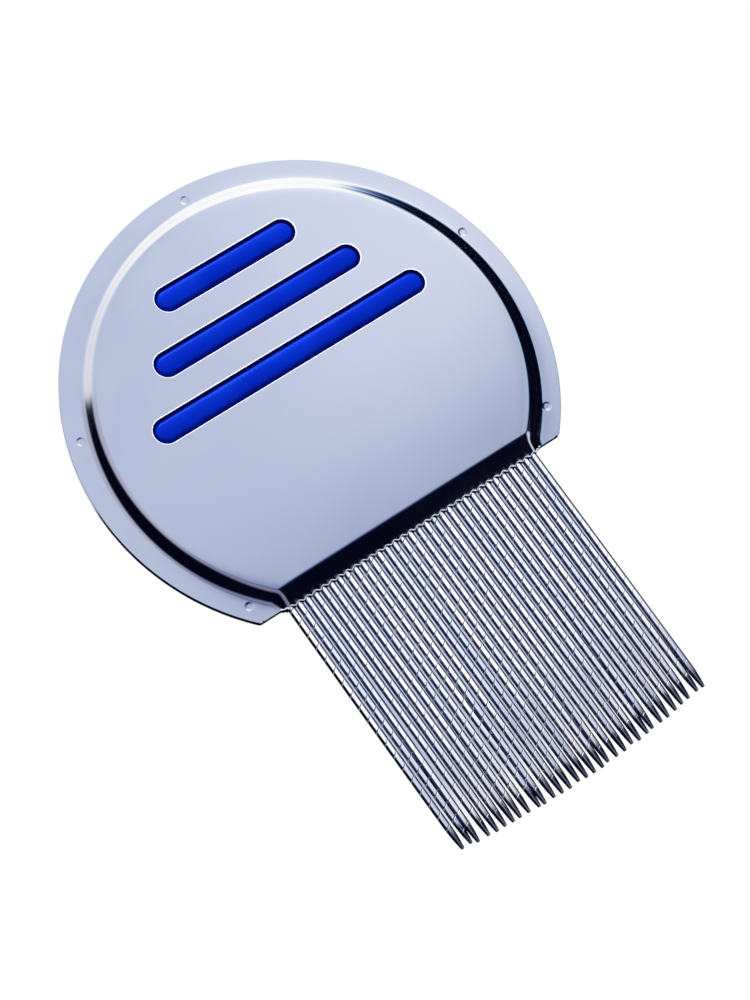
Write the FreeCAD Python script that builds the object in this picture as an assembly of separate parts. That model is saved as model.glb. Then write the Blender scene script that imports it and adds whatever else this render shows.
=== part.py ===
"""Round-headed steel flea comb.

Two pressed stainless half shells are spot-welded rim to rim around a moulded plastic grip core.
Three ribs of the core show through slots on each side, and its front bar holds the roots of a
row of round steel needle teeth. The comb has no moving parts.

Frame: X runs across the comb, the teeth point along -Y, and Z is square to the head.
The origin is on the rear shell's flat pad, at the centre of the round head.
"""
import FreeCAD, Part
import math
import os
from FreeCAD import Rotation, Vector

# Head: two pressed shells, rim to rim.
HEAD_RADIUS = 30.8
HEAD_THICKNESS = 3.2
SHEET = 0.4
STEP_FOOT_RADIUS = 28.5    # the flat rim ends here and the step up to the pad begins
STEP_ANGLE = 60.0          # steepest slope of the step
FOOT_BEND = 0.8            # bend radii of the step, on the outside of the sheet
CREST_BEND = 1.4
EAR_CUT_Y = -21.2          # straight front edge of the rim, beside the teeth
EAR_CORNER_RADIUS = 0.6

# Spot welds: shallow dimples in the rim, clockwise from the top of the head.
WELD_CIRCLE_RADIUS = 29.05
WELD_ANGLES = (2.0, 75.7, 126.6, 230.0, 288.8)
WELD_RADIUS = 0.55
WELD_DEPTH = 0.12

# Slots in each pad and the ribs of the core that show through them.
SLOT_WIDTH = 3.4
SLOT_LENGTHS = (40.0, 30.2, 20.4)
SLOT_FIRST_Y = 4.75
SLOT_SPACING = 7.05
SLOT_EDGE_RADIUS = 0.12
RIB_GAP = 0.2
RIB_RECESS = 0.1           # the ribs stay this far below the pad
RIB_EDGE_RADIUS = 0.3
CORE_CLEARANCE = 0.05
CORE_RADIUS = 26.9

# Teeth: round needles in one row.
TOOTH_COUNT = 32
TOOTH_PITCH = 1.17
TOOTH_DIAMETER = 0.95
TOOTH_TIP_DIAMETER = 0.42
TOOTH_TAPER = 3.2
TAPER_BULGE = 0.06         # the taper stands this far outside a straight cone
TIP_CHAMFER = 0.07
TOOTH_ROOT_Y = -11.5       # the needles reach this far into the core
TOOTH_FIT = 0.01
TIP_LINE_Y = -57.8         # tip of the middle teeth
TIP_LINE_SAG = 1.2         # the outermost tips stand back by this much

# Front slope and the corrugated lip that grips the teeth.
FRONT_SLOPE = 17.0
LIP_Y = -21.35
LIP_GRIP = 0.025           # between a tooth and the shell above it
LIP_SCALLOP = 0.3          # the edge reaches this much further between teeth
LIP_GROOVE_DEPTH = 0.24
LIP_GROOVE_LENGTH = 0.9
LIP_HALF_LENGTH = 18.75
CORNER_BACK_Y = -19.5      # from here forward the step runs straight along Y to the lip's ends
CORE_FRONT_Y = -20.5

HALF = HEAD_THICKNESS / 2
ROW_HALF = (TOOTH_COUNT - 1) * TOOTH_PITCH / 2
LIP_TOP = TOOTH_DIAMETER / 2 + LIP_GRIP + SHEET / math.cos(math.radians(FRONT_SLOPE))
CORNER_FOOT_X = LIP_HALF_LENGTH + FOOT_BEND
FAR = 2 * HEAD_RADIUS      # longer than anything in the comb


def line(start, end):
    return Part.makeLine(start, end)


def bend(centre, radius, out, up, from_deg, to_deg):
    """Arc in the plane of two unit vectors; the angle is measured from up towards out."""
    def point(degrees):
        angle = math.radians(degrees)
        return centre + out * (radius * math.sin(angle)) + up * (radius * math.cos(angle))
    return Part.Arc(point(from_deg), point((from_deg + to_deg) / 2), point(to_deg)).toShape()


def closed_face(edges, corners):
    """Face whose outline runs along edges and then through corners, back to the start."""
    first = edges[0].valueAt(edges[0].FirstParameter)
    last = edges[-1].valueAt(edges[-1].LastParameter)
    points = [last] + corners + [first]
    closing = [line(a, b) for a, b in zip(points, points[1:])]
    return Part.Face(Part.Wire(edges + closing))


def step_face(foot, out, inset):
    """Half section of the pressed form, from the middle of the head out to the rim.

    The surface lies inset below the outside of the sheet: 0 is the outside and SHEET the inside.
    """
    up = Vector(0, 0, 1)
    angle = math.radians(STEP_ANGLE)
    rise = HALF - SHEET
    bends = CREST_BEND + FOOT_BEND
    straight = (rise - bends * (1 - math.cos(angle))) / math.sin(angle)
    width = bends * math.sin(angle) + straight * math.cos(angle)
    crest_centre = out * (foot - width) + up * (HALF - CREST_BEND)
    foot_centre = out * foot + up * (SHEET + FOOT_BEND)
    crest = bend(crest_centre, CREST_BEND - inset, out, up, 0, STEP_ANGLE)
    toe = bend(foot_centre, FOOT_BEND + inset, out * -1, up * -1, STEP_ANGLE, 0)
    top = line(up * (HALF - inset), crest.valueAt(crest.FirstParameter))
    slope = line(crest.valueAt(crest.LastParameter), toe.valueAt(toe.FirstParameter))
    return closed_face([top, crest, slope, toe], [out * foot - up, up * -1])


def front_prism(inset, front_y):
    """Everything behind the sloping front of the head, cut off square at front_y."""
    up = Vector(0, 0, 1)
    ahead = Vector(0, -1, 0)
    angle = math.radians(FRONT_SLOPE)
    drop = HALF - LIP_TOP - CREST_BEND * (1 - math.cos(angle))
    crest_y = LIP_Y + CREST_BEND * math.sin(angle) + drop / math.tan(angle)
    centre = Vector(0, crest_y, HALF - CREST_BEND)
    crest = bend(centre, CREST_BEND - inset, ahead, up, 0, FRONT_SLOPE)
    top = line(Vector(0, FAR, HALF - inset), crest.valueAt(crest.FirstParameter))
    knee = crest.valueAt(crest.LastParameter)
    reach = knee.y - front_y
    toe = Vector(0, front_y, knee.z - reach * math.tan(angle))
    slope = line(knee, toe)
    face = closed_face([top, crest, slope], [Vector(0, front_y, -1), Vector(0, FAR, -1)])
    face.translate(Vector(-FAR / 2, 0, 0))
    return face.extrude(Vector(FAR, 0, 0))


def raised_form(inset, front_y):
    """Solid under the raised middle of one shell, down past the parting plane."""
    out = Vector(1, 0, 0)
    dome = step_face(STEP_FOOT_RADIUS, out, inset).revolve(Vector(0, 0, 0), Vector(0, 0, 1), 360)
    corners = []
    for side in (out, out * -1):
        face = step_face(CORNER_FOOT_X, side, inset)
        face.translate(Vector(0, CORNER_BACK_Y, 0))
        corners.append(face.extrude(Vector(0, 2 * (LIP_Y - CORNER_BACK_Y), 0)))
    return dome.fuse(corners).common(front_prism(inset, front_y))


def rim_plate():
    """Flat rim sheet with its straight front edge and softened ear corners."""
    plate = Part.makeCylinder(HEAD_RADIUS, SHEET)
    front = Part.makeBox(FAR, FAR, FAR, Vector(-FAR / 2, EAR_CUT_Y - FAR, -FAR / 2))
    plate = plate.cut(front)
    corners = [edge for edge in plate.Edges
               if abs(edge.BoundBox.YMax - EAR_CUT_Y) < 0.01 and edge.BoundBox.XLength < 0.01]
    return plate.makeFillet(EAR_CORNER_RADIUS, corners)


def stadium(length, width, y, bottom, height):
    """Upright solid with straight sides and round ends, lying along X."""
    radius = width / 2
    reach = length / 2 - radius
    box = Part.makeBox(2 * reach, width, height, Vector(-reach, y - radius, bottom))
    ends = [Part.makeCylinder(radius, height, Vector(side * reach, y, bottom)) for side in (-1, 1)]
    return box.fuse(ends).removeSplitter()


def slot_rows():
    """Length and centre line of each slot."""
    return [(length, SLOT_FIRST_Y + index * SLOT_SPACING) for index, length in enumerate(SLOT_LENGTHS)]


def weld_dimples():
    """Shallow ball-shaped dents in the top of the rim."""
    ball = (WELD_RADIUS ** 2 + WELD_DEPTH ** 2) / (2 * WELD_DEPTH)
    dimples = []
    for degrees in WELD_ANGLES:
        angle = math.radians(degrees)
        centre = Vector(math.sin(angle), math.cos(angle), 0) * WELD_CIRCLE_RADIUS
        centre.z = SHEET - WELD_DEPTH + ball
        dimples.append(Part.makeSphere(ball, centre))
    return dimples


def gap_centres():
    """X of the gaps on both sides of every tooth."""
    return [-ROW_HALF + (index - 0.5) * TOOTH_PITCH for index in range(TOOTH_COUNT + 1)]


def vee(x, half_width, top, depth):
    """Upside-down triangular wedge that deepens from nothing to depth at the scalloped lip edge."""
    edge_y = LIP_Y - LIP_SCALLOP - LIP_GRIP
    slope = math.tan(math.radians(FRONT_SLOPE))
    back_y = LIP_Y + LIP_GROOVE_LENGTH
    start = Vector(x, back_y, top + slope * (back_y - LIP_Y))
    left = Vector(x - half_width, edge_y, top + slope * (edge_y - LIP_Y))
    right = Vector(x + half_width, edge_y, left.z)
    bottom = Vector(x, edge_y, left.z - depth)
    faces = [Part.Face(Part.makePolygon([a, b, c, a])) for a, b, c in (
        (start, right, left), (start, left, bottom), (start, bottom, right), (left, right, bottom))]
    return Part.Solid(Part.Shell(faces))


def lip_edge():
    """Solid in front of the zigzag lip edge: it comes back over every tooth."""
    points = []
    for x in gap_centres():
        points.append(Vector(x, LIP_Y - LIP_SCALLOP, 0))
        points.append(Vector(x + TOOTH_PITCH / 2, LIP_Y, 0))
    points.pop()
    points = [Vector(-LIP_HALF_LENGTH, LIP_Y, 0)] + points + [Vector(LIP_HALF_LENGTH, LIP_Y, 0)]
    points += [Vector(FAR / 2, LIP_Y, 0), Vector(FAR / 2, -FAR, 0)]
    points += [Vector(-FAR / 2, -FAR, 0), Vector(-FAR / 2, LIP_Y, 0)]
    wire = Part.makePolygon(points + points[:1])
    face = Part.Face(wire)
    face.translate(Vector(0, 0, -1))
    return face.extrude(Vector(0, 0, HEAD_THICKNESS))


def half_shell():
    """Front shell with its open side down on z = 0, the parting plane."""
    lip_front = LIP_Y - LIP_SCALLOP
    below = Part.makeBox(FAR, FAR, FAR, Vector(-FAR / 2, -FAR / 2, -FAR))
    outside = raised_form(0, lip_front).cut(below)
    inside = raised_form(SHEET, lip_front - 1)
    shell = rim_plate().fuse(outside).cut(inside)
    shell = shell.cut(lip_edge())
    shell = shell.cut([vee(x, TOOTH_PITCH / 2, LIP_TOP, LIP_GROOVE_DEPTH) for x in gap_centres()])
    shell = shell.cut([stadium(length, SLOT_WIDTH, y, 0, HALF + 1) for length, y in slot_rows()])
    return shell.cut(weld_dimples()).removeSplitter()


def soften_slots(shell):
    """Round the outside edges of the slots."""
    rim_edges = []
    for edge in shell.Edges:
        box = edge.BoundBox
        on_pad = box.ZMin > HALF - 0.01
        if on_pad and box.YMin > 0 and box.YMax < SLOT_FIRST_Y + 2 * SLOT_SPACING + SLOT_WIDTH:
            rim_edges.append(edge)
    return shell.makeFillet(SLOT_EDGE_RADIUS, rim_edges)


def flipped(shape):
    return shape.mirror(Vector(0, 0, 0), Vector(0, 0, 1))


def grip_core():
    """Moulded core: a plate that fills the shells, ribs for the slots and bores for the teeth."""
    above = Part.makeBox(FAR, FAR, FAR, Vector(-FAR / 2, -FAR / 2, 0))
    half = raised_form(SHEET + CORE_CLEARANCE, CORE_FRONT_Y).common(above)
    half = half.common(Part.makeCylinder(CORE_RADIUS, HALF))
    for length, y in slot_rows():
        rib = stadium(length - 2 * RIB_GAP, SLOT_WIDTH - 2 * RIB_GAP, y, 0, HALF - RIB_RECESS)
        crown = [edge for edge in rib.Edges if edge.BoundBox.ZMin > HALF - RIB_RECESS - 0.01]
        half = half.fuse(rib.makeFillet(RIB_EDGE_RADIUS, crown))
    core = half.fuse(flipped(half)).removeSplitter()
    bores = []
    for index in range(TOOTH_COUNT):
        start = Vector(-ROW_HALF + index * TOOTH_PITCH, TOOTH_ROOT_Y + TOOTH_FIT, 0)
        bores.append(Part.makeCylinder(TOOTH_DIAMETER / 2 + TOOTH_FIT, FAR, start, Vector(0, -1, 0)))
    return core.cut(bores)


def tip_y(x):
    """The tips lie on a shallow circular arc."""
    radius = (ROW_HALF ** 2 + TIP_LINE_SAG ** 2) / (2 * TIP_LINE_SAG)
    return TIP_LINE_Y + radius - math.sqrt(radius ** 2 - x ** 2)


def tooth(x):
    """One needle: straight shank, long rounded taper and a blunt chamfered tip."""
    radius = TOOTH_DIAMETER / 2
    blunt = TOOTH_TIP_DIAMETER / 2
    end = tip_y(x)
    axis = Vector(x, 0, 0)
    root = axis + Vector(0, TOOTH_ROOT_Y, 0)
    shoulder = axis + Vector(radius, end + TOOTH_TAPER, 0)
    waist = axis + Vector((radius + blunt) / 2 + TAPER_BULGE, end + TOOTH_TAPER / 2, 0)
    nose = axis + Vector(blunt, end + TIP_CHAMFER, 0)
    cheek = axis + Vector(blunt - TIP_CHAMFER, end, 0)
    tip = axis + Vector(0, end, 0)
    shank = line(root + Vector(radius, 0, 0), shoulder)
    taper = Part.Arc(shoulder, waist, nose).toShape()
    face = closed_face([shank, taper, line(nose, cheek)], [tip, root])
    return face.revolve(axis, Vector(0, 1, 0), 360)


def build():
    """Every piece, by node name, standing on the rear pad."""
    front = soften_slots(half_shell())
    pieces = {"front_shell": front, "rear_shell": flipped(front), "grip_core": grip_core()}
    for index in range(TOOTH_COUNT):
        pieces["tooth_%02d" % (index + 1)] = tooth(-ROW_HALF + index * TOOTH_PITCH)
    for shape in pieces.values():
        shape.translate(Vector(0, 0, HALF))
    return pieces


os.makedirs("parts", exist_ok=True)
for name, shape in build().items():
    solid = shape if shape.ShapeType == "Solid" else shape.Solids[0]
    solid.exportStep("parts/" + name + ".step")
    print(name, "solids", len(shape.Solids), "valid", shape.isValid(), "volume", round(shape.Volume, 2))
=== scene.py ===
import math
import random
from math import radians

import bmesh
import bpy
import numpy as np
from mathutils import Matrix, Vector
from mathutils.geometry import delaunay_2d_cdt


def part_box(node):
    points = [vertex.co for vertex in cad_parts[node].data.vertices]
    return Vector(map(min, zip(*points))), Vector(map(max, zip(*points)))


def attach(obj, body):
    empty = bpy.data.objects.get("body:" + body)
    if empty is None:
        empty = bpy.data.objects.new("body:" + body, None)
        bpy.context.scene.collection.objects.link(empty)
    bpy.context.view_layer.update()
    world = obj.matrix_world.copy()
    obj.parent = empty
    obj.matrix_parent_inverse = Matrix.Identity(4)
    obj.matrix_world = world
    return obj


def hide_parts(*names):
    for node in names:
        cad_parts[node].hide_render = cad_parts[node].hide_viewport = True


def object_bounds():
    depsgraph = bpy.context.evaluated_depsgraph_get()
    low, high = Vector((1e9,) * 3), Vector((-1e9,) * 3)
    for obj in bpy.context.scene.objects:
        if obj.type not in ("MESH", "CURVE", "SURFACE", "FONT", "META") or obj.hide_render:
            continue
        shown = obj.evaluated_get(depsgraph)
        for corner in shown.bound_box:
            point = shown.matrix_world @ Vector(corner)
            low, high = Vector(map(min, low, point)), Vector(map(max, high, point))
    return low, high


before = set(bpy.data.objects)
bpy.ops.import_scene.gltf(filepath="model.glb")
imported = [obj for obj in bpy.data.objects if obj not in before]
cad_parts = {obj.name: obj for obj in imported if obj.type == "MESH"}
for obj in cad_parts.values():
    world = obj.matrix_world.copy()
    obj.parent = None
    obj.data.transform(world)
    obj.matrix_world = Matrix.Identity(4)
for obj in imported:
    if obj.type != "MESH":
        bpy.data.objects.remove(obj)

# Lengths are in millimetres and angles in degrees unless a comment says otherwise. The mesh code works
# about the parting plane, where the two shells meet, and turns into metres at the end.
MM = 0.001
CAD_LOW, CAD_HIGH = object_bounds()
SHELL_LOW, SHELL_HIGH = [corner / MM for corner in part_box("front_shell")]
CORE_LOW, CORE_HIGH = [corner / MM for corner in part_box("grip_core")]
TOOTH_NODES = sorted(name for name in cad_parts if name.startswith("tooth_"))

PARTING_Z = SHELL_LOW.z
HALF = SHELL_HIGH.z - SHELL_LOW.z
HEAD_RADIUS = SHELL_HIGH.x

# Pressed sheet
SHEET = 0.4
STEP_CENTRE = (0.08, -0.12)    # the head is pressed slightly off the middle of its rim
STEP_FOOT_RADIUS = 28.40
STEP_ANGLE = 51.5
FOOT_BEND = 1.2
CREST_BEND = 1.3
SPRINGBACK = 0.12              # height that the flat parts gain or lose as they ease into the step
SPRINGBACK_REACH = 0.95
RIM_DISH = 0.012               # slope by which the rim turns up toward its edge
FRONT_SLOPE = 17.0
FRONT_BEND = 2.4
RIDGE_SHARPNESS = 1.5          # how crisply the side step meets the sloping front
EAR_CUT_Y = -21.2
EAR_CORNER_RADIUS = 0.6
CORNER_FOOT_X = 19.9           # the step's foot runs straight at this distance beside the teeth
CORNER_BLEND = 0.6             # width over which its round part turns into that straight one
EDGE_ROUND = 0.06              # rolled edge that blanking leaves on the sheet
SLOT_ROUND = 0.13
SEAM_BEVEL = 0.03              # opens a hairline between the two rims

# Points of a shell's mesh
RIM_STEPS = 560
EAR_CORNER_STEPS = 7
EAR_STEPS = 12
SLOT_EDGE_SPACING = 0.35
EDGE_RINGS = 4
SLOT_RINGS = 6
RIM_RING_RADIUS = 30.3
FRONT_GRID_Y = -17.6           # a regular grid takes over from the rings along the step here
LIP_GRID_Y = -20.4             # from here its rows step down to the lip
CORNER_GRID_X = 17.3
CORNER_GRID_END_X = 22.6
FRONT_COLUMNS = 235
GRID_STEP = 0.09
PAD_GRID_CLEARANCE = 0.8       # keeps the coarse points of the flat pad away from the slots' rolled edges
EDGE_HIGHLIGHT_ANGLE = 5              # faces that are rolled over further than this get the pale edge colour, a painted highlight

# Zigzag lip over the teeth
TOOTH_PITCH = 1.17
LIP_HALF_LENGTH = 16 * TOOTH_PITCH
LIP_SCALLOP = 0.3
LIP_Y = SHELL_LOW.y + LIP_SCALLOP
LIP_TOP = 0.918
LIP_GROOVE_DEPTH = 0.10
LIP_GROOVE_LENGTH = 0.9

# Slots, ribs and the core
SLOT_WIDTH = 3.4
SLOT_LENGTHS = (40.0, 30.2, 20.4)
SLOT_FIRST_Y = 4.75
SLOT_SPACING = 7.05
RIB_GAP = 0.27
RIB_RECESS = 0.05
RIB_ROUND = 0.50
RIB_CROWN = 0.20               # the ribs are this much higher along their middle
MOAT_WIDTH = 0.45              # sunk channel in the core round each rib
MOAT_LEVEL = 0.40
CORE_CLEARANCE = 0.05
CORE_RADIUS = CORE_HIGH.x
CORE_FRONT_Y = CORE_LOW.y
CORE_STEPS = 300
CORE_FRONT_STEPS = 120
RIB_EDGE_SPACING = 0.6

# Spot welds, clockwise from the top of the head
WELD_CIRCLE_RADIUS = 29.05
WELD_ANGLES = (2.0, 75.7, 126.6, 230.0, 288.8)
WELD_RADIUS = 0.47
WELD_DEPTH = 0.028
WELD_SHOULDER = 0.34           # width over which a dent goes down to its flat bottom
WELD_GRID_RADIUS = 1.5 * WELD_RADIUS

# Needle teeth
TIP_RADIUS = 0.21
TAPER_LENGTH = 3.2
TAPER_BULGE = 0.06
NOSE_LENGTH = 0.07
NOSE_FLAT = 0.62               # share of the tip's radius that is flat
THREAD_LEAD = 1.77             # one turn of the spiral micro-groove
THREAD_HALF_WIDTH = 0.085
THREAD_DEPTH = 0.04
THREAD_PAST_LIP = 0.6          # the groove runs on this far under the lip
THREAD_FADE_IN = 1.0
THREAD_FADE_OUT = 0.3
THREAD_MARGIN = 0.03
THREAD_STEPS = np.array([      # rows of one turn: the two sides of the groove, then the land
    0, THREAD_MARGIN, THREAD_MARGIN + 0.5 * THREAD_HALF_WIDTH, THREAD_MARGIN + THREAD_HALF_WIDTH,
    THREAD_MARGIN + 1.5 * THREAD_HALF_WIDTH, THREAD_MARGIN + 2 * THREAD_HALF_WIDTH,
    2 * THREAD_MARGIN + 2 * THREAD_HALF_WIDTH, 0.5 * THREAD_LEAD])
THREAD_CUTS = np.array([0, 0, 0.75, 1.0, 0.75, 0, 0, 0])
NEEDLE_SIDES = 28
TIP_SCATTER = 0.13
BEND_LIMIT = 0.20              # hand-set needles are never quite parallel
BOW_LIMIT = 0.05

# Paper that the comb lies on, with a soft shade that fades in and out between these places
FLOOR_GAP = 0.02
SHADE_X = (-18.3, -17.0, 17.9, 19.1)
SHADE_Y = (-56, -47, -21, -18)

# Camera, from the photograph's viewing angle
VIEW_AZIMUTH = -56.66
VIEW_ELEVATION = 68.53
VIEW_ROLL = 22.60
VIEW_DISTANCE = 408.77
VIEW_AIM = (-1.65, -15.74, HALF)
VIEW_LENS = 121.9
VIEW_SENSOR = 36.0

SEED = 7


# ---------------------------------------------------------------- pressed form

def step_plan():
    """Length of the straight part of the step's slope, and the width of the whole step."""
    sine, cosine = math.sin(radians(STEP_ANGLE)), math.cos(radians(STEP_ANGLE))
    bends = FOOT_BEND + CREST_BEND
    straight = (HALF - SHEET - 2 * SPRINGBACK - bends * (1 - cosine)) / sine
    return straight, bends * sine + straight * cosine


def step_height(inward, inset):
    """Height of the S-shaped step above the parting plane, going inward from its foot.

    The surface lies inset below the outside of the sheet.
    """
    sine, tangent = math.sin(radians(STEP_ANGLE)), math.tan(radians(STEP_ANGLE))
    width = step_plan()[1]
    foot, crest = FOOT_BEND + inset, CREST_BEND - inset
    foot_end, crest_start = foot * sine, width - crest * sine
    from_top = np.clip(width - inward, 0, crest)
    on_foot = SHEET + FOOT_BEND - np.sqrt(foot ** 2 - np.clip(inward, 0, foot_end) ** 2)
    on_slope = on_foot + np.clip(inward - foot_end, 0, None) * tangent
    crest_centre = HALF - 2 * SPRINGBACK - CREST_BEND
    on_crest = crest_centre + np.sqrt(crest ** 2 - np.clip(from_top, 0, crest * sine) ** 2)
    ease = SPRINGBACK * (1 + np.tanh((inward - width / 2) / SPRINGBACK_REACH))
    return np.where(inward < crest_start, on_slope, on_crest) + ease


def step_stations():
    """Distances in from the foot at which the step is sampled: close together where it bends."""
    width = step_plan()[1]
    before = [-1.6, -1.1, -0.75, -0.5, -0.3, -0.15]
    foot = [FOOT_BEND * math.sin(radians(a)) for a in np.linspace(0, STEP_ANGLE, 15)]
    crest = [width - CREST_BEND * math.sin(radians(a)) for a in np.linspace(STEP_ANGLE, 0, 15)]
    after = [width + away for away in (0.12, 0.26, 0.42, 0.6, 0.85, 1.2, 1.7)]
    return before + foot + crest + after


def front_height(y, inset):
    """Height of the sloping front of the head above the parting plane."""
    sine, tangent = math.sin(radians(FRONT_SLOPE)), math.tan(radians(FRONT_SLOPE))
    drop = HALF - LIP_TOP - FRONT_BEND * (1 - math.cos(radians(FRONT_SLOPE)))
    crest_y = LIP_Y + FRONT_BEND * sine + drop / tangent
    crest = FRONT_BEND - inset
    ahead = np.clip(crest_y - y, 0, None)
    bend_end = crest * sine
    on_crest = HALF - FRONT_BEND + np.sqrt(crest ** 2 - np.clip(ahead, 0, bend_end) ** 2)
    return on_crest - np.clip(ahead - bend_end, 0, None) * tangent


def from_step_centre(x, y):
    return np.hypot(x - STEP_CENTRE[0], y - STEP_CENTRE[1])


def in_from_foot(x, y):
    """Distance in from the foot of the step, which is round behind and straight beside the teeth."""
    from_round = STEP_FOOT_RADIUS - from_step_centre(x, y)
    from_straight = np.where(y < 0, CORNER_FOOT_X - abs(x), from_round)
    nearness = np.clip(1 - abs(from_round - from_straight) / CORNER_BLEND, 0, None)
    lift = np.where(y < 0, CORNER_BLEND / 4 * nearness ** 2, 0)
    return np.maximum(from_round, from_straight) + lift


def pressed_height(x, y, inset):
    """Height of one shell above the parting plane, where the side step and the sloping front blend."""
    top, rise = HALF - inset, HALF - SHEET

    def share(height):
        """How far a height lies down from the pad toward the rim, bent for the blend."""
        return np.clip((top - height) / rise, 0, 1) ** RIDGE_SHARPNESS

    side = share(step_height(in_from_foot(x, y), inset))
    front = share(front_height(y, inset))
    return top - rise * (side + front - side * front) ** (1 / RIDGE_SHARPNESS)


def gap_wave(x):
    """1 midway between two teeth and 0 over a tooth, straight in between."""
    from_gap = abs(x / TOOTH_PITCH - np.round(x / TOOTH_PITCH))
    pointed = 1 - 2 * from_gap
    return np.where(abs(x) < LIP_HALF_LENGTH, pointed, 0)


def lip_grooves(x, y):
    """Depth of the crimped grooves that run back from the lip between the teeth."""
    run = (LIP_Y + LIP_GROOVE_LENGTH - y) / (LIP_GROOVE_LENGTH + LIP_SCALLOP)
    return LIP_GROOVE_DEPTH * np.clip(run, 0, 1) * gap_wave(x)


def weld_centres():
    angles = np.radians(WELD_ANGLES)
    return WELD_CIRCLE_RADIUS * np.stack([np.sin(angles), np.cos(angles)], 1)


def weld_dents(x, y):
    """Depth of the flat-bottomed spot-weld dents."""
    depth = np.zeros_like(x)
    for centre_x, centre_y in weld_centres():
        away = np.hypot(x - centre_x, y - centre_y)
        share = np.clip((WELD_RADIUS + 0.5 * WELD_SHOULDER - away) / WELD_SHOULDER, 0, 1)
        depth += WELD_DEPTH * share * share * (3 - 2 * share)
    return depth


def rim_lift(x, y):
    return RIM_DISH * np.clip(from_step_centre(x, y) - STEP_FOOT_RADIUS, 0, None)


def shell_outside(x, y):
    return pressed_height(x, y, 0) + rim_lift(x, y) - lip_grooves(x, y) - weld_dents(x, y)


def shell_inside(x, y):
    return pressed_height(x, y, SHEET)


def slot_rows():
    """Length and centre line of each slot."""
    return [(length, SLOT_FIRST_Y + index * SLOT_SPACING) for index, length in enumerate(SLOT_LENGTHS)]


def rib_distance(x, y):
    """Distance inside the nearest rib's outline, negative outside."""
    nearest = np.full_like(x, -1e3)
    for length, row_y in slot_rows():
        radius = SLOT_WIDTH / 2 - RIB_GAP
        reach = length / 2 - RIB_GAP - radius
        away = np.hypot(np.clip(abs(x) - reach, 0, None), y - row_y)
        nearest = np.maximum(nearest, radius - away)
    return nearest


def core_outside(x, y):
    """Top of the core: a plate under the shell, and crowned ribs with rolled edges in sunk channels."""
    inside = rib_distance(x, y)
    plate = pressed_height(x, y, SHEET + CORE_CLEARANCE)
    plate = np.where(inside > -MOAT_WIDTH, MOAT_LEVEL, plate)
    half_width = SLOT_WIDTH / 2 - RIB_GAP
    crown = RIB_CROWN * np.clip(1 - inside / half_width, 0, 1) ** 2
    over_roll = RIB_ROUND - np.clip(inside, 0, RIB_ROUND)
    roll = RIB_ROUND - np.sqrt(RIB_ROUND ** 2 - over_roll ** 2)
    return np.where(inside > 0, HALF - RIB_RECESS - crown - roll, plate)


# ---------------------------------------------------------------- outlines

def arc(centre, radius, from_deg, to_deg, steps):
    """Points on an arc; the angle is measured clockwise from +Y."""
    angles = np.radians(np.linspace(from_deg, to_deg, steps))
    return np.stack([centre[0] + radius * np.sin(angles), centre[1] + radius * np.cos(angles)], 1)


def shell_outline():
    """Edge of a shell, anticlockwise: round rim, ear corners, ear fronts and the zigzag lip."""
    corner_y = EAR_CUT_Y + EAR_CORNER_RADIUS
    corner_x = math.sqrt((HEAD_RADIUS - EAR_CORNER_RADIUS) ** 2 - corner_y ** 2)
    turn = math.degrees(math.atan2(corner_x, corner_y))
    rim = arc((0, 0), HEAD_RADIUS, turn, -turn, RIM_STEPS)
    left = arc((-corner_x, corner_y), EAR_CORNER_RADIUS, -turn - 2, -180, EAR_CORNER_STEPS)
    right = arc((corner_x, corner_y), EAR_CORNER_RADIUS, 180, turn + 2, EAR_CORNER_STEPS)
    ear_end_x, tuck_start_x, tuck_end_x = (-LIP_HALF_LENGTH - beside for beside in (0.75, 0.5, 0.3))
    ear_columns = np.linspace(-corner_x + 0.3, ear_end_x, EAR_STEPS)
    ear = np.stack([ear_columns, np.full(EAR_STEPS, EAR_CUT_Y)], 1)
    tuck = np.array([[tuck_start_x, EAR_CUT_Y - 0.01], [tuck_end_x, LIP_Y + 0.01]])
    columns = lip_columns()
    lip = np.stack([columns, LIP_Y - LIP_SCALLOP * gap_wave(columns)], 1)
    side = np.concatenate([ear, tuck])
    other = side[::-1] * (-1, 1)
    return np.concatenate([rim, left, side, lip, other, right])


def lip_columns():
    steps = 12 * len(TOOTH_NODES)
    return np.linspace(-LIP_HALF_LENGTH, LIP_HALF_LENGTH, steps + 1)


def stadium(length, width, row_y, spacing):
    """Closed outline with straight sides and round ends, clockwise."""
    radius = width / 2
    reach = length / 2 - radius
    along = np.linspace(-reach, reach, int(2 * reach / spacing))[1:-1]
    top = np.stack([along, np.full_like(along, row_y + radius)], 1)
    bottom = np.stack([along[::-1], np.full_like(along, row_y - radius)], 1)
    right = arc((reach, row_y), radius, 0, 180, 33)
    left = arc((-reach, row_y), radius, 180, 360, 33)
    return np.concatenate([top, right, bottom, left])


def outward(loop):
    """Unit vectors that point out of the material, for a loop with the material on its left."""
    along = np.roll(loop, -1, 0) - np.roll(loop, 1, 0)
    side = np.stack([along[:, 1], -along[:, 0]], 1)
    return side / np.linalg.norm(side, axis=1)[:, None]


def inside_of(points, loop):
    """Even-odd test of points against one closed loop."""
    x, y = points[:, :1], points[:, 1:]
    start, end = loop, np.roll(loop, -1, 0)
    rise = end[:, 1] - start[:, 1]
    spans = (start[:, 1] > y) != (end[:, 1] > y)
    cut = start[:, 0] + (y - start[:, 1]) / np.where(rise == 0, 1, rise) * (end[:, 0] - start[:, 0])
    return (np.count_nonzero(spans & (x < cut), axis=1) % 2) == 1


# ---------------------------------------------------------------- meshes from height fields

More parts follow.
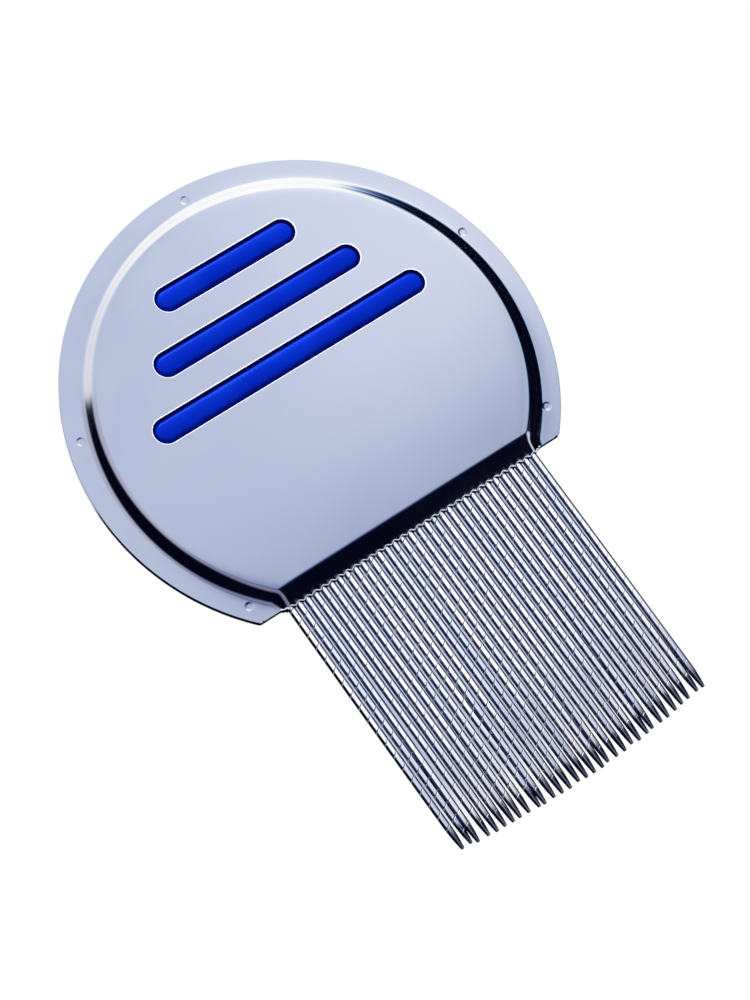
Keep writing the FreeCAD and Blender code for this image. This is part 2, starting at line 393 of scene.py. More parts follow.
class Cloud:
    """Plan points of one sheet surface. Those near an edge know how far the edge tips the surface over."""

    def __init__(self):
        self.places, self.tips, self.aways = [], [], []

    def add(self, places, tip=0.0, away=None):
        self.places.append(places)
        self.tips.append(np.full(len(places), tip))
        self.aways.append(np.zeros_like(places) if away is None else away)

    def edge_rings(self, loop, radius, steps):
        """Rings just inside a loop, over which the surface rolls down to the edge."""
        away = outward(loop)
        for tip in np.linspace(90, 0, steps + 1)[1:]:
            inward = radius * (1 - math.sin(radians(tip)))
            self.add(loop - away * inward, tip, away)

    def arrays(self):
        return np.concatenate(self.places), np.concatenate(self.tips), np.concatenate(self.aways)


def surface(places, tips, aways, radii, height):
    """Heights and normals of plan points on a height field with rolled edges."""
    x, y = places.T
    small = 1e-4
    slope_x = (height(x + small, y) - height(x - small, y)) / (2 * small)
    slope_y = (height(x, y + small) - height(x, y - small)) / (2 * small)
    normals = np.stack([-slope_x, -slope_y, np.ones_like(x)], 1)
    normals /= np.linalg.norm(normals, axis=1)[:, None]
    tip = np.radians(tips)[:, None]
    normals = normals * np.cos(tip) + np.pad(aways, ((0, 0), (0, 1))) * np.sin(tip)
    normals /= np.linalg.norm(normals, axis=1)[:, None]
    return height(x, y) - radii * (1 - np.cos(np.radians(tips))), normals


def triangles(loops, places):
    """Delaunay triangles of the loops' own points and the places between them, holes left open."""
    points = np.concatenate(loops + [places])
    faces, first = [], 0
    for loop in loops:
        faces.append(list(range(first, first + len(loop))))
        first += len(loop)
    edges = [(a, b) for face in faces for a, b in zip(face, face[1:] + face[:1])]
    made = delaunay_2d_cdt([Vector(p) for p in points], edges, [], 0, 1e-7)
    index = np.array([origin[0] for origin in made[3]])
    found = index[np.array(made[2])]
    centres = points[found].mean(1)
    keep = inside_of(centres, loops[0])
    for hole in loops[1:]:
        keep &= ~inside_of(centres, hole)
    found = found[keep]
    a, b, c = (points[found[:, i]] for i in range(3))
    turn = (b - a)[:, 0] * (c - a)[:, 1] - (b - a)[:, 1] * (c - a)[:, 0]
    found[turn < 0] = found[turn < 0][:, ::-1]
    return found[abs(turn) > 1e-9]


def clear_of(places, loops, gap):
    """The places that are inside the first loop, outside the others, and not close to any."""
    keep = inside_of(places, loops[0])
    for hole in loops[1:]:
        keep &= ~inside_of(places, hole)
    places = places[keep]
    for loop in loops:
        nearest = np.full(len(places), 1e9)
        for start in range(0, len(loop), 64):
            part = loop[start:start + 64]
            away = np.linalg.norm(places[:, None] - part[None], axis=2).min(1)
            nearest = np.minimum(nearest, away)
        places = places[nearest > gap]
    return places


def side_faces(loops, upper, lower):
    """Quads between the upper and the lower copy of each loop, with their outward normals."""
    faces, normals, first = [], [], 0
    for loop in loops:
        count = len(loop)
        away = np.pad(outward(loop), ((0, 0), (0, 1)))
        here = np.arange(count)
        there = (here + 1) % count
        faces.append(np.stack([lower + first + here, lower + first + there,
                               upper + first + there, upper + first + here], 1))
        normals.append(away[np.stack([here, there, there, here], 1)])
        first += count
    return np.concatenate(faces), np.concatenate(normals)


def solid_sheet(name, loops, radii, top, top_height, bottom, bottom_height, mirrored=False):
    """Closed mesh between two height fields, and the angle by which each of its faces is rolled over.

    Radii are those of the rolled edges, one per loop.
    """
    rims = np.concatenate(loops)
    rim_away = np.concatenate([outward(loop) for loop in loops])
    rim_radii = np.concatenate([np.full(len(loop), radius) for loop, radius in zip(loops, radii)])
    places, tips, aways, ring_radii = top
    high_places = np.concatenate([rims, places])
    high_tips = np.concatenate([np.full(len(rims), 90.0), tips])
    high_z, high_normals = surface(high_places, high_tips, np.concatenate([rim_away, aways]),
                                   np.concatenate([rim_radii, ring_radii]), top_height)
    low_places = np.concatenate([rims, bottom])
    unrolled = np.zeros(len(low_places))
    low_z, low_normals = surface(low_places, unrolled, np.zeros_like(low_places), unrolled, bottom_height)
    low_z[:len(rims)] += np.where(rim_radii > 0, SEAM_BEVEL, 0)

    upper = triangles(loops, places)
    lower = triangles(loops, bottom)[:, ::-1]
    low_start = len(high_places)
    sides, side_normals = side_faces(loops, 0, low_start)
    points = np.concatenate([np.column_stack([high_places, high_z]), np.column_stack([low_places, low_z])])
    faces = [tuple(face) for part in (upper, lower + low_start, sides) for face in part]
    corner_normals = (high_normals[upper], -low_normals[lower], side_normals)
    normals = np.concatenate([part.reshape(-1, 3) for part in corner_normals])
    rolled = np.concatenate([high_tips[upper].mean(1), np.zeros(len(lower) + len(sides))])
    if mirrored:
        points, faces, normals = mirror_mesh(points, faces, normals)
    return mesh_object(name, points, faces, normals), rolled


def mirror_mesh(points, faces, normals):
    """The same mesh mirrored in the parting plane, its faces still turned outward."""
    flip = np.array([1, 1, -1])
    starts = np.concatenate([[0], np.cumsum([len(face) for face in faces])])
    order = np.concatenate([np.arange(start, end)[::-1] for start, end in zip(starts, starts[1:])])
    return points * flip, [face[::-1] for face in faces], (normals * flip)[order]


def mesh_object(name, points, faces, normals=None):
    """Smooth-shaded mesh object, moved from the parting plane to its place in the row frame."""
    mesh = bpy.data.meshes.new(name)
    placed = (np.asarray(points) + (0, 0, PARTING_Z)) * MM
    mesh.from_pydata(placed.tolist(), [], [tuple(int(i) for i in face) for face in faces])
    mesh.polygons.foreach_set("use_smooth", [True] * len(mesh.polygons))
    mesh.update()
    if normals is not None:
        mesh.normals_split_custom_set(normals.tolist())
    piece = bpy.data.objects.new(name, mesh)
    bpy.context.scene.collection.objects.link(piece)
    return piece


def grid(x_values, y_values):
    x, y = np.meshgrid(x_values, y_values)
    return np.stack([x.ravel(), y.ravel()], 1)


# ---------------------------------------------------------------- shells

def front_grids():
    """Plan points of the sloping front and of the corners beside the teeth."""
    columns = np.linspace(-CORNER_GRID_X, CORNER_GRID_X, FRONT_COLUMNS)
    rows = np.concatenate([np.arange(FRONT_GRID_Y, LIP_GRID_Y + 0.1, -GRID_STEP),
                           np.arange(LIP_GRID_Y, LIP_Y - LIP_SCALLOP, -0.1)])
    corner_rows = np.arange(FRONT_GRID_Y, LIP_Y, -GRID_STEP)
    corner_columns = np.arange(CORNER_GRID_X + GRID_STEP, CORNER_GRID_END_X, GRID_STEP)
    return [grid(columns, rows), grid(corner_columns, corner_rows), grid(-corner_columns, corner_rows)]


def step_rings():
    """Plan points along the round step, left out where the front and the welds have their own."""
    rings = []
    for inward in step_stations():
        ring = arc(STEP_CENTRE, STEP_FOOT_RADIUS - inward, -180, 180, 721)[:-1]
        kept = ring[:, 1] > FRONT_GRID_Y + 0.08
        for centre in weld_centres():
            kept &= np.linalg.norm(ring - centre, axis=1) > WELD_GRID_RADIUS + 0.08
        rings.append(ring[kept])
    return rings


def weld_rings():
    """Plan points in circles over each spot-weld dent."""
    radii = np.linspace(0.12, WELD_GRID_RADIUS, 9)
    return [arc(centre, radius, 0, 360, 33)[:-1] for radius in radii for centre in weld_centres()]


def shell_places(loops):
    """Plan points of the outside of a shell, dense wherever it bends."""
    cloud = Cloud()
    cloud.edge_rings(loops[0], EDGE_ROUND, EDGE_RINGS)
    for loop in loops[1:]:
        cloud.edge_rings(loop, SLOT_ROUND, SLOT_RINGS)
    rim_ring = arc((0, 0), RIM_RING_RADIUS, -132, 132, 300)
    bends = np.concatenate(front_grids() + step_rings() + weld_rings() + [rim_ring])
    cloud.add(clear_of(bends, loops, SLOT_ROUND + 0.03))
    flat = grid(np.arange(-24, 24.1, 2.4), np.arange(FRONT_GRID_Y + 1.0, 25, 2.2))
    flat = flat[np.hypot(*flat.T) < STEP_FOOT_RADIUS - 3]
    cloud.add(clear_of(flat, loops, PAD_GRID_CLEARANCE))
    places, tips, aways = cloud.arrays()
    ring_radii = np.where(tips > 0, SLOT_ROUND, 0.0)
    edge_points = EDGE_RINGS * len(loops[0])
    ring_radii[:edge_points] = np.where(tips[:edge_points] > 0, EDGE_ROUND, 0.0)
    return places, tips, aways, ring_radii


def shell_underside(loops):
    """Plan points of the hidden inside, sparser than the outside."""
    parts = []
    for inward in step_stations()[::2]:
        parts.append(arc(STEP_CENTRE, STEP_FOOT_RADIUS - inward, -180, 180, 241)[:-1])
    parts.append(grid(np.arange(-22, 22.1, 0.8), np.arange(-21.2, -17, 0.3)))
    places = np.concatenate(parts)
    return clear_of(places, loops, 0.2)


def paint_edge_highlight(skin, rolled, material):
    """Give the rolled edges of the slots and the lip their own pale matt colour, a painted highlight along
    them.
    """
    skin.data.materials.append(material)
    reach = STEP_FOOT_RADIUS + 0.25
    for face, tip in zip(skin.data.polygons, rolled):
        centre = face.center / MM
        if tip > EDGE_HIGHLIGHT_ANGLE and math.hypot(centre.x, centre.y) < reach:
            face.material_index = 1


def make_shells(material, edge_material):
    loops = [shell_outline()]
    loops += [stadium(length, SLOT_WIDTH, row_y, SLOT_EDGE_SPACING) for length, row_y in slot_rows()]
    radii = [EDGE_ROUND] + [SLOT_ROUND] * len(SLOT_LENGTHS)
    top = shell_places(loops)
    bottom = shell_underside(loops)
    skins = []
    for side, mirrored in (("front", False), ("rear", True)):
        skin, rolled = solid_sheet(side + "_skin", loops, radii, top, shell_outside,
                                   bottom, shell_inside, mirrored)
        register(skin, [side + "_shell"], material)
        paint_edge_highlight(skin, rolled, edge_material)
        skins.append(skin)
    return skins


# ---------------------------------------------------------------- core

def make_core(material):
    """Blue grip core with its ribs, the same on both sides."""
    turn = math.degrees(math.acos(CORE_FRONT_Y / CORE_RADIUS))
    outline = arc((0, 0), CORE_RADIUS, turn, -turn, CORE_STEPS)
    front = np.linspace(outline[-1], outline[0], CORE_FRONT_STEPS)[1:-1]
    loops = [np.concatenate([outline, front])]
    parts = []
    for length, row_y in slot_rows():
        rolled = [RIB_ROUND * (1 - math.sin(radians(angle))) for angle in np.linspace(80, 0, 9)]
        crowned = list(np.arange(RIB_ROUND + 0.1, 1.45, 0.1))
        for inward in [-MOAT_WIDTH - 0.01, -MOAT_WIDTH + 0.01, -0.004, 0.002] + rolled + crowned:
            shrink = 2 * (RIB_GAP + inward)
            parts.append(stadium(length - shrink, SLOT_WIDTH - shrink, row_y, RIB_EDGE_SPACING))
    parts.append(grid(np.arange(-17, 17.1, 1.0), np.arange(CORE_FRONT_Y + 0.3, -17.5, 0.3)))
    places = clear_of(np.concatenate(parts), loops, 0.15)
    flat = np.zeros(len(places))
    top = (places, flat, np.zeros_like(places), flat)
    core, _ = solid_sheet("grip_body", loops, [0.0], top, core_outside, places,
                          lambda x, y: -core_outside(x, y))
    register(core, ["grip_core"], material)
    return core


# ---------------------------------------------------------------- teeth

def needle_radius(from_tip, radius):
    """Radius of a needle at a distance from its tip: blunt nose, rounded taper, straight shank."""
    share = np.clip(from_tip / TAPER_LENGTH, 0, 1)
    taper = TIP_RADIUS + (radius - TIP_RADIUS) * share + 4 * TAPER_BULGE * share * (1 - share)
    nose = np.sqrt(np.clip(1 - (1 - np.clip(from_tip / NOSE_LENGTH, 0, 1)) ** 2, 0, 1))
    return np.minimum(taper, radius) * (NOSE_FLAT + (1 - NOSE_FLAT) * nose)


def make_needle(name, node, material, draw):
    """One needle tooth, slightly bent and bowed, with a spiral micro-groove cut into its shank."""
    low, high = [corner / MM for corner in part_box(node)]
    radius, centre_x = (high.x - low.x) / 2, (high.x + low.x) / 2
    tip_y = low.y + draw.uniform(-TIP_SCATTER, TIP_SCATTER)
    length = high.y - tip_y
    bend = max(-BEND_LIMIT, min(BEND_LIMIT, draw.gauss(0, 0.6 * BEND_LIMIT)))
    bow = draw.uniform(-BOW_LIMIT, BOW_LIMIT)
    phase = draw.random()
    depth = THREAD_DEPTH * draw.choice((0.35, 0.7, 1.0, 1.0))
    groove_start = TAPER_LENGTH * draw.uniform(0.45, 0.75)
    groove_end = LIP_Y - tip_y + THREAD_PAST_LIP

    turns = int((groove_end - groove_start) / THREAD_LEAD) + 4
    tip_rows = [0.0, 0.01, 0.03, NOSE_LENGTH] + list(np.linspace(0.3, groove_start, 8)[:-1])
    thread_rows = np.concatenate([THREAD_STEPS + THREAD_LEAD * (turn - 2) for turn in range(turns)])
    root_rows = [length - 0.5, length]
    rows = np.concatenate([tip_rows, thread_rows + groove_start, root_rows])
    cut = np.concatenate([np.zeros(len(tip_rows)), np.tile(THREAD_CUTS, turns), np.zeros(len(root_rows))])
    thread = slice(len(tip_rows), len(tip_rows) + len(thread_rows))

    columns = np.arange(NEEDLE_SIDES)
    along = np.repeat(rows[:, None], NEEDLE_SIDES, 1)
    along[thread] += THREAD_LEAD * (columns / NEEDLE_SIDES + phase)
    along[thread] = np.clip(along[thread], groove_start, groove_end)
    fade_in = np.clip((along - groove_start) / THREAD_FADE_IN, 0, 1)
    fade_out = np.clip((groove_end - along) / THREAD_FADE_OUT, 0, 1)
    groove = cut[:, None] * (fade_in * fade_out)
    ring_radius = needle_radius(along, radius) - depth * groove
    angle = 2 * math.pi * columns / NEEDLE_SIDES
    from_lip = np.clip(1 - along / (LIP_Y - tip_y), 0, 1)
    sway = bend * from_lip ** 1.6 + 4 * bow * from_lip * (1 - from_lip)
    points = np.stack([centre_x + sway + ring_radius * np.sin(angle), tip_y + along,
                       ring_radius * np.cos(angle)], 2).reshape(-1, 3)

    needle = mesh_object(name, points, needle_faces(len(rows), thread))
    mark = needle.data.attributes.new("groove", "FLOAT", "POINT")
    mark.data.foreach_set("value", (groove * depth / THREAD_DEPTH).ravel().astype(np.float32))
    weld_doubles(needle)
    register(needle, [node], material)
    return needle


def needle_faces(row_count, thread):
    """Quads round a needle and its two end caps. Thread rows close on the row one turn further on."""
    faces = []
    for row in range(row_count - 1):
        here, above = row * NEEDLE_SIDES, (row + 1) * NEEDLE_SIDES
        for column in range(NEEDLE_SIDES - 1):
            faces.append((here + column, here + column + 1, above + column + 1, above + column))
        closing, closing_above = (NEEDLE_SIDES * one_turn_on(start, thread) for start in (row, row + 1))
        last = NEEDLE_SIDES - 1
        faces.append((here + last, closing, closing_above, above + last))
    faces.append(tuple(range(NEEDLE_SIDES))[::-1])
    end = (row_count - 1) * NEEDLE_SIDES
    faces.append(tuple(range(end, end + NEEDLE_SIDES)))
    return faces


def one_turn_on(row, thread):
    """Row on whose first column the last column of a row closes."""
    if row < thread.start or row >= thread.stop:
        return row
    return min(row + len(THREAD_STEPS), thread.stop - 1)


def weld_doubles(piece):
    """Merge the rows that collapse onto each other at both ends of the thread."""
    work = bmesh.new()
    work.from_mesh(piece.data)
    bmesh.ops.remove_doubles(work, verts=work.verts, dist=0.0002 * MM)
    bmesh.ops.recalc_face_normals(work, faces=work.faces)
    work.to_mesh(piece.data)
    work.free()


def make_needles(material):
    draw = random.Random(SEED)
    return [make_needle(node.replace("tooth", "needle"), node, material, draw) for node in TOOTH_NODES]


def register(piece, nodes, material):
    """Give a piece its material, hide the CAD nodes that it stands for and hang it under the root body."""
    piece.data.materials.append(material)
    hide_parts(*nodes)
    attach(piece, "root")


# ---------------------------------------------------------------- materials

class Nodes:
    """Adds shader nodes to a tree. An input may be a value or another node's output."""

    def __init__(self, tree):
        self.tree = tree
        tree.nodes.clear()

    def add(self, kind, inputs=None, **settings):
        node = self.tree.nodes.new(kind)
        for name, value in settings.items():
            setattr(node, name, value)
        for key, value in (inputs or {}).items():
            if isinstance(value, bpy.types.NodeSocket):
                self.tree.links.new(value, node.inputs[key])
            else:
                node.inputs[key].default_value = value
        return node

    def math(self, operation, first, second=0.0):
        return self.add("ShaderNodeMath", {0: first, 1: second}, operation=operation).outputs[0]

    def remap(self, value, from_min, from_max, to_min=0.0, to_max=1.0):
        """Smooth step from one range to the other."""
        inputs = {"Value": value, "From Min": from_min, "From Max": from_max,
                  "To Min": to_min, "To Max": to_max}
        return self.add("ShaderNodeMapRange", inputs, interpolation_type="SMOOTHSTEP").outputs[0]

    def mix(self, share, first, second, blend="MIX"):
        node = self.add("ShaderNodeMix", data_type="RGBA", blend_type=blend)
        for socket, value in ((node.inputs[0], share), (node.inputs[6], first), (node.inputs[7], second)):
            if isinstance(value, bpy.types.NodeSocket):
                self.tree.links.new(value, socket)
            else:
                socket.default_value = value
        return node.outputs[2]

    def length(self, first, second):
        squares = [self.math("MULTIPLY", value, value) for value in (first, second)]
        return self.math("SQRT", self.math("ADD", *squares))

    def band(self, value, rise_from, rise_to, fall_from, fall_to):
        """1 between the two middle values, fading to 0 at the outer two."""
        rising = self.remap(value, rise_from, rise_to)
        falling = self.remap(value, fall_to, fall_from)
        return self.math("MULTIPLY", rising, falling)

    def noise(self, scale, detail=3.0, stretch=(1, 1, 1)):
        place = self.add("ShaderNodeTexCoord").outputs["Object"]
        place = self.add("ShaderNodeMapping", {"Vector": place, "Scale": stretch}).outputs[0]
        inputs = {"Vector": place, "Scale": scale, "Detail": detail}
        return self.add("ShaderNodeTexNoise", inputs).outputs[0]

    def bump(self, height, strength, distance, normal=None):
        inputs = {"Height": height, "Strength": strength, "Distance": distance}
        if normal is not None:
            inputs["Normal"] = normal
        return self.add("ShaderNodeBump", inputs).outputs[0]

    def finish(self, shader, kind="ShaderNodeOutputMaterial"):
        self.add(kind, {"Surface": shader})


def linear(red, green, blue):
    """Scene-linear colour of an 8-bit display colour."""
    def channel(value):
        value /= 255
        return value / 12.92 if value <= 0.04045 else ((value + 0.055) / 1.055) ** 2.4
    return channel(red), channel(green), channel(blue), 1.0


def new_material(name):
    material = bpy.data.materials.new(name)
    material.use_nodes = True
    return material, Nodes(material.node_tree)


def polished_sheet():
    """Pressed stainless sheet: mirror-like, faintly wavy, with fine handling scratches and smudges."""
    material, nodes = new_material("polished_sheet")
    smudge = nodes.noise(scale=120, detail=4)
    waves = nodes.noise(scale=45, detail=1)
    tint = nodes.mix(nodes.remap(smudge, 0.3, 0.7), (0.93, 0.94, 0.96, 1), (0.97, 0.975, 0.985, 1))
    normal = nodes.bump(waves, strength=0.5, distance=0.02 * MM)
    for scale, stretch in ((900, (1, 14, 1)), (1100, (16, 1, 1))):
        scratches = nodes.noise(scale=scale, detail=2, stretch=stretch)
        normal = nodes.bump(scratches, strength=0.05, distance=0.01 * MM, normal=normal)
    shader = nodes.add("ShaderNodeBsdfPrincipled", {
        "Base Color": tint, "Metallic": 1.0, "Roughness": nodes.remap(smudge, 0.25, 0.75, 0.075, 0.12),
        "Normal": normal})
    nodes.finish(shader.outputs[0])
    return material


def edge_painted_highlight():
    """Edge of the sheet in a pale matt colour that catches light from every side: a painted highlight
    along its rolled edges.
    """
    material, nodes = new_material("edge_painted_highlight")
    grit = nodes.noise(scale=2600, detail=2)
    # The pale colour is a painted highlight: it draws a bright line along the rolled edges.
    tint = nodes.mix(nodes.remap(grit, 0.3, 0.7), (0.72, 0.74, 0.92, 1), (0.90, 0.92, 1.0, 1))
    shader = nodes.add("ShaderNodeBsdfPrincipled", {
        "Base Color": tint, "Roughness": nodes.remap(grit, 0.3, 0.7, 0.45, 0.6)})
    nodes.finish(shader.outputs[0])
    return material


def moulded_blue():
    """Glossy moulded plastic: deep, slightly uneven blue with a trace of orange peel."""
    material, nodes = new_material("moulded_blue")
    cloud = nodes.noise(scale=160, detail=3)
    peel = nodes.noise(scale=1500, detail=2)
    colour = nodes.mix(nodes.remap(cloud, 0.3, 0.7), (0.0008, 0.019, 0.54, 1), (0.0012, 0.028, 0.62, 1))
    shader = nodes.add("ShaderNodeBsdfPrincipled", {
        "Base Color": colour, "Roughness": nodes.remap(cloud, 0.3, 0.7, 0.28, 0.36),
        "Specular IOR Level": 0.10, "Specular Tint": (0.25, 0.7, 1.0, 1),
        "Normal": nodes.bump(peel, strength=0.08, distance=0.02 * MM)})
    nodes.finish(shader.outputs[0])
    return material


def needle_steel():
    """Drawn needle wire: bright, streaked along its length, each needle in its own tone.

    The groove is matt, with painted shade on top and a painted highlight on its flanks, set by which way
    its normal faces. Seen in reflections, needles are painted dark navy, a painted reflection.
    """
    material, nodes = new_material("needle_steel")
    streak = nodes.noise(scale=1400, detail=3, stretch=(1, 0.02, 1))
    tone = nodes.noise(scale=900, detail=2, stretch=(1, 0.05, 1))
    tint = nodes.mix(nodes.remap(tone, 0.32, 0.62), (0.58, 0.66, 0.82, 1), (0.97, 0.98, 1.0, 1))
    # Seen in reflections, needles turn dark navy: a painted reflection.
    mirrored = nodes.add("ShaderNodeLightPath").outputs["Is Glossy Ray"]
    tint = nodes.mix(mirrored, tint, (0.027, 0.028, 0.14, 1))
    # Painted light in the groove: painted shade where the normal faces up, a painted highlight where it
    # faces sideways.
    normal = nodes.add("ShaderNodeTexCoord").outputs["Normal"]
    sideways = nodes.math("ABSOLUTE", nodes.add("ShaderNodeSeparateXYZ", {0: normal}).outputs[0])
    groove_painted_light = nodes.mix(nodes.remap(sideways, 0.5, 0.7), (0.006, 0.007, 0.03, 1), (0.9, 0.93, 1.0, 1))
    mark = nodes.add("ShaderNodeAttribute", attribute_name="groove").outputs["Fac"]
    groove = nodes.remap(mark, 0.3, 1.1)
    shader = nodes.add("ShaderNodeBsdfPrincipled", {
        "Base Color": nodes.mix(groove, tint, groove_painted_light), "Metallic": nodes.math("SUBTRACT", 1.0, groove),
        "Roughness": nodes.remap(streak, 0.3, 0.7, 0.08, 0.16),
        "Normal": nodes.bump(streak, strength=0.12, distance=0.02 * MM)})
    nodes.finish(shader.outputs[0])
    return material


# ---------------------------------------------------------------- studio

LAVENDER = linear(214, 217, 228)
WHITE = (1.0, 1.0, 1.0, 1.0)
NAVY = linear(4, 5, 22)
DUSK = linear(30, 52, 108)
SKY = linear(150, 180, 215)
MAUVE = linear(172, 172, 198)
DEEP_MAUVE = linear(124, 124, 158)
PALE_LEFT = linear(185, 195, 220)
PALE_RIGHT = linear(216, 222, 242)
PALE_FRONT = linear(136, 150, 186)
PALE_CORNER = linear(196, 202, 230)
PAD_OUTLOOK = (19.0, 14.5)     # where the flat pads look, in degrees from the zenith toward +X and +Y


class Outlook:
    """Directions that polished steel mirrors, mapped flat, in degrees.

    East and north count from the zenith toward +X and +Y. Away and compass are measured from the
    direction that the flat pads mirror, the compass clockwise from +Y.
    """

    def __init__(self, nodes, direction):
        x, y, z = nodes.add("ShaderNodeSeparateXYZ", {0: direction}).outputs
        from_zenith = nodes.math("DEGREES", nodes.math("ARCCOSINE", z))
        scale = nodes.math("DIVIDE", from_zenith, nodes.math("MAXIMUM", nodes.length(x, y), 1e-6))
        self.east = nodes.math("MULTIPLY", x, scale)
        self.north = nodes.math("MULTIPLY", y, scale)
        from_x = nodes.math("SUBTRACT", self.east, PAD_OUTLOOK[0])
        from_y = nodes.math("SUBTRACT", self.north, PAD_OUTLOOK[1])
        self.away = nodes.length(from_x, from_y)
        self.compass = nodes.math("DEGREES", nodes.math("ARCTAN2", from_x, from_y))


def glow_overhead(nodes, outlook):
    """Pale sky that the flat parts mirror, greyer to the left and in front."""
    lean = nodes.math("MULTIPLY", nodes.math("SUBTRACT", outlook.east, 18.0), 0.2)
    tilted = nodes.math("SUBTRACT", outlook.north, lean)
    glow = nodes.mix(nodes.remap(outlook.east, 15.5, 21.0), PALE_LEFT, PALE_RIGHT)
    return nodes.mix(nodes.remap(tilted, 10.0, 13.4), PALE_FRONT, glow)


def glow_behind(nodes, outlook, glow):
    """White behind the comb, which begins further out toward the left."""
    begin = nodes.remap(outlook.compass, -35, 25, 34, 3)
    full = nodes.remap(outlook.compass, -35, 25, 76, 14)
    behind = nodes.mix(nodes.remap(outlook.compass, -62, 15), LAVENDER, WHITE)
    return nodes.mix(nodes.remap(outlook.away, begin, full), glow, behind)


def dusk_right(nodes, outlook, glow):
    """Dark right side, entered through sky blue and dusk."""
    slanted = nodes.math("SUBTRACT", outlook.east, nodes.math("MULTIPLY", outlook.north, 0.77))
    rightward = nodes.math("SUBTRACT", slanted, 17.5)
    for low, high, colour in ((-4, 3, SKY), (1, 9, DUSK), (7, 17, NAVY)):
        glow = nodes.mix(nodes.remap(rightward, low, high), glow, colour, "DARKEN")
    return glow


def dark_left(nodes, outlook, glow):
    """Dark left side, entered through mauve."""
    compass, away = outlook.compass, outlook.away
    mauve = nodes.mix(nodes.remap(compass, -98, -122), MAUVE, DEEP_MAUVE)
    left = nodes.mix(nodes.remap(away, 9, 22), glow, mauve)
    toward_front = nodes.remap(compass, -117, -134, 0, 13)
    begin = nodes.math("ADD", nodes.remap(compass, -108, -58, 31, 54), toward_front)
    full = nodes.math("ADD", nodes.remap(compass, -108, -58, 57, 80), toward_front)
    left = nodes.mix(nodes.remap(away, begin, full), left, NAVY)
    skewed = nodes.math("SUBTRACT", compass, nodes.math("MULTIPLY", away, 0.1))
    return nodes.mix(nodes.remap(skewed, -62.5, -66.5), glow, left)


def dusk_front(nodes, outlook, glow):
    """Dark front, which the sloping front of the head mirrors."""
    eastern = nodes.remap(outlook.east, -2, 10)
    for high, low, colour in ((9.5, 1, DUSK), (4, -7, NAVY)):
        share = nodes.math("MULTIPLY", nodes.remap(outlook.north, high, low), eastern)
        glow = nodes.mix(share, glow, colour, "DARKEN")
    return glow


def bright_corner(nodes, outlook, glow):
    """Bright patch that the right corner of the step mirrors."""
    share = nodes.math("MULTIPLY", nodes.band(outlook.compass, 137, 141, 155, 160),
                       nodes.band(outlook.away, 22, 32, 66, 78))
    return nodes.mix(share, glow, PALE_CORNER)


def studio_glow(nodes, direction):
    """What polished steel mirrors: pale overhead, white behind, dark right, left and front.

    Each zone fades in over the ones before it, between two directions of the outlook.
    """
    outlook = Outlook(nodes, direction)
    glow = glow_overhead(nodes, outlook)
    for zone in (glow_behind, dusk_right, dark_left, dusk_front, bright_corner):
        glow = zone(nodes, outlook, glow)
    return glow


def studio_world():
    """Plain soft studio. The camera sees white, matt surfaces a dome that is brighter at the back."""
    world = bpy.data.worlds.new("studio")
    world.use_nodes = True
    world.cycles.sampling_method = "NONE"
    nodes = Nodes(world.node_tree)
    direction = nodes.add("ShaderNodeTexCoord").outputs["Generated"]
    path = nodes.add("ShaderNodeLightPath").outputs
    backward = nodes.add("ShaderNodeSeparateXYZ", {0: direction}).outputs[1]
    dome = nodes.mix(nodes.remap(backward, -0.8, 0.8), (0.02, 0.03, 0.06, 1), (0.66, 0.70, 0.78, 1))
    seen = nodes.mix(path["Is Diffuse Ray"], studio_glow(nodes, direction), dome)
    seen = nodes.mix(path["Is Camera Ray"], seen, WHITE)
    background = nodes.add("ShaderNodeBackground", {"Color": seen})
    nodes.finish(background.outputs[0], "ShaderNodeOutputWorld")
    bpy.context.scene.world = world


def studio_floor():
    """Paper, plain white to the camera but for a soft shade under the teeth. Steel does not mirror it."""
    reach = 4000 * MM
    level = CAD_LOW.z - FLOOR_GAP * MM
    corners = [(x * reach, y * reach, level) for x, y in ((-1, -1), (1, -1), (1, 1), (-1, 1))]
    mesh = bpy.data.meshes.new("floor")
    mesh.from_pydata(corners, [], [(0, 1, 2, 3)])
    floor = bpy.data.objects.new("floor", mesh)
    bpy.context.scene.collection.objects.link(floor)
    material, nodes = new_material("floor_paper")
    camera_ray = nodes.add("ShaderNodeLightPath").outputs["Is Camera Ray"]
    place = nodes.add("ShaderNodeTexCoord").outputs["Object"]
    x, y = (nodes.math("DIVIDE", part, MM)
            for part in nodes.add("ShaderNodeSeparateXYZ", {0: place}).outputs[:2])
    shade = nodes.math("MULTIPLY", nodes.band(x, *SHADE_X), nodes.band(y, *SHADE_Y))
    paper = nodes.mix(shade, WHITE, linear(188, 193, 220))
    seen = nodes.mix(camera_ray, (0.6, 0.62, 0.66, 1), paper)
    nodes.finish(nodes.add("ShaderNodeEmission", {"Color": seen}).outputs[0])
    floor.data.materials.append(material)
    floor.visible_glossy = False


def softbox(name, place, aim, size, radiance, colour, receivers, mirrored=True):
    """Rectangular soft light that only its receivers see, either in reflections too or as plain light.

    Its place, aim and size are in metres.
    """
    group = bpy.data.collections.new(name + "_receivers")
    for receiver in receivers:
        group.objects.link(receiver)
    lamp = bpy.data.lights.new(name, "AREA")
    lamp.shape = "RECTANGLE"
    lamp.size, lamp.size_y = size
    lamp.energy = radiance * math.pi * size[0] * size[1]
    lamp.color = colour
    light = bpy.data.objects.new(name, lamp)
    light.location = place
    light.rotation_mode = "QUATERNION"
    light.rotation_quaternion = (Vector(aim) - Vector(place)).to_track_quat("-Z", "Y")
    bpy.context.scene.collection.objects.link(light)
    light.light_linking.receiver_collection = group
    light.visible_glossy = mirrored


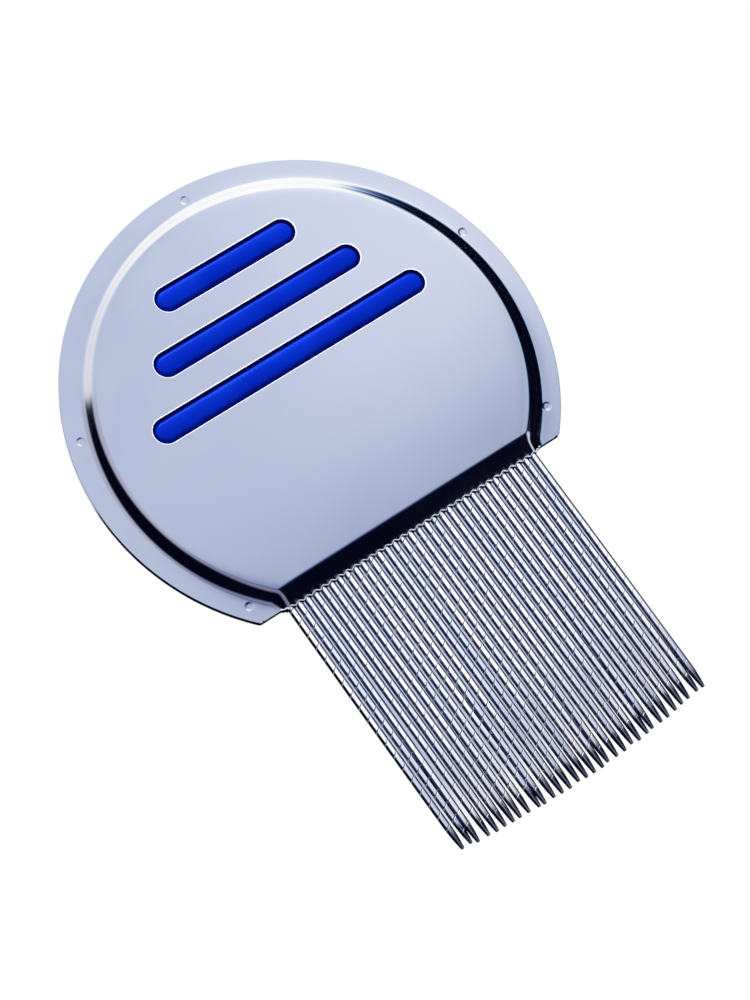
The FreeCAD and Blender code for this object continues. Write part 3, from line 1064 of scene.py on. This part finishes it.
def tooth_light(needles):
    """Softbox overhead that lays the white stripe along each needle, and a dimmer strip in front of it."""
    height = 0.30
    left_x, right_x = (height * math.tan(radians(angle)) for angle in (-49, 61))
    strips = (("overhead", 0.0, 0.60, 1.0), ("overhead_front", -0.04, 0.0, 0.5))
    for name, near_y, far_y, radiance in strips:
        middle = (left_x + right_x) / 2, (near_y + far_y) / 2
        softbox(name, place=(*middle, height), aim=(*middle, 0), size=(right_x - left_x, far_y - near_y),
                radiance=radiance, colour=(1, 1, 1), receivers=needles)


def rib_light(core):
    """Low softbox behind the comb: it models the crowned ribs, bright behind and dark in front."""
    softbox("behind", place=Vector((0.08, 0.42, 0.26)), aim=(0, 0.01, 0), size=(0.26, 0.26),
            radiance=13.0, colour=(0.6, 1.0, 1.0), receivers=[core])


def edge_light(skins):
    """Plain light from above that only the matt edges of the sheet pick up."""
    softbox("above", place=(-0.1, -0.05, 0.5), aim=(0, 0, 0), size=(0.4, 0.4),
            radiance=9.0, colour=(1, 1, 1), receivers=skins, mirrored=False)


def studio_camera():
    azimuth, elevation, roll = radians(VIEW_AZIMUTH), radians(VIEW_ELEVATION), radians(VIEW_ROLL)
    back = Vector((math.sin(azimuth) * math.cos(elevation),
                   -math.cos(azimuth) * math.cos(elevation), math.sin(elevation)))
    level = Vector((math.cos(azimuth), math.sin(azimuth), 0))
    rise = back.cross(level)
    right = level * math.cos(roll) + rise * math.sin(roll)
    up = rise * math.cos(roll) - level * math.sin(roll)
    data = bpy.data.cameras.new("camera")
    data.sensor_width = VIEW_SENSOR
    data.lens = VIEW_LENS
    data.clip_start, data.clip_end = 0.01, 20
    camera = bpy.data.objects.new("camera", data)
    place = Matrix((right, up, back)).transposed().to_4x4()
    place.translation = (Vector(VIEW_AIM) + back * VIEW_DISTANCE) * MM
    camera.matrix_world = place
    bpy.context.scene.collection.objects.link(camera)
    bpy.context.scene.camera = camera


def show_plainly():
    settings = bpy.context.scene.view_settings
    settings.view_transform = "Standard"
    settings.look = "None"


edge_light(make_shells(polished_sheet(), edge_painted_highlight()))
rib_light(make_core(moulded_blue()))
tooth_light(make_needles(needle_steel()))
studio_world()
studio_floor()
studio_camera()
show_plainly()
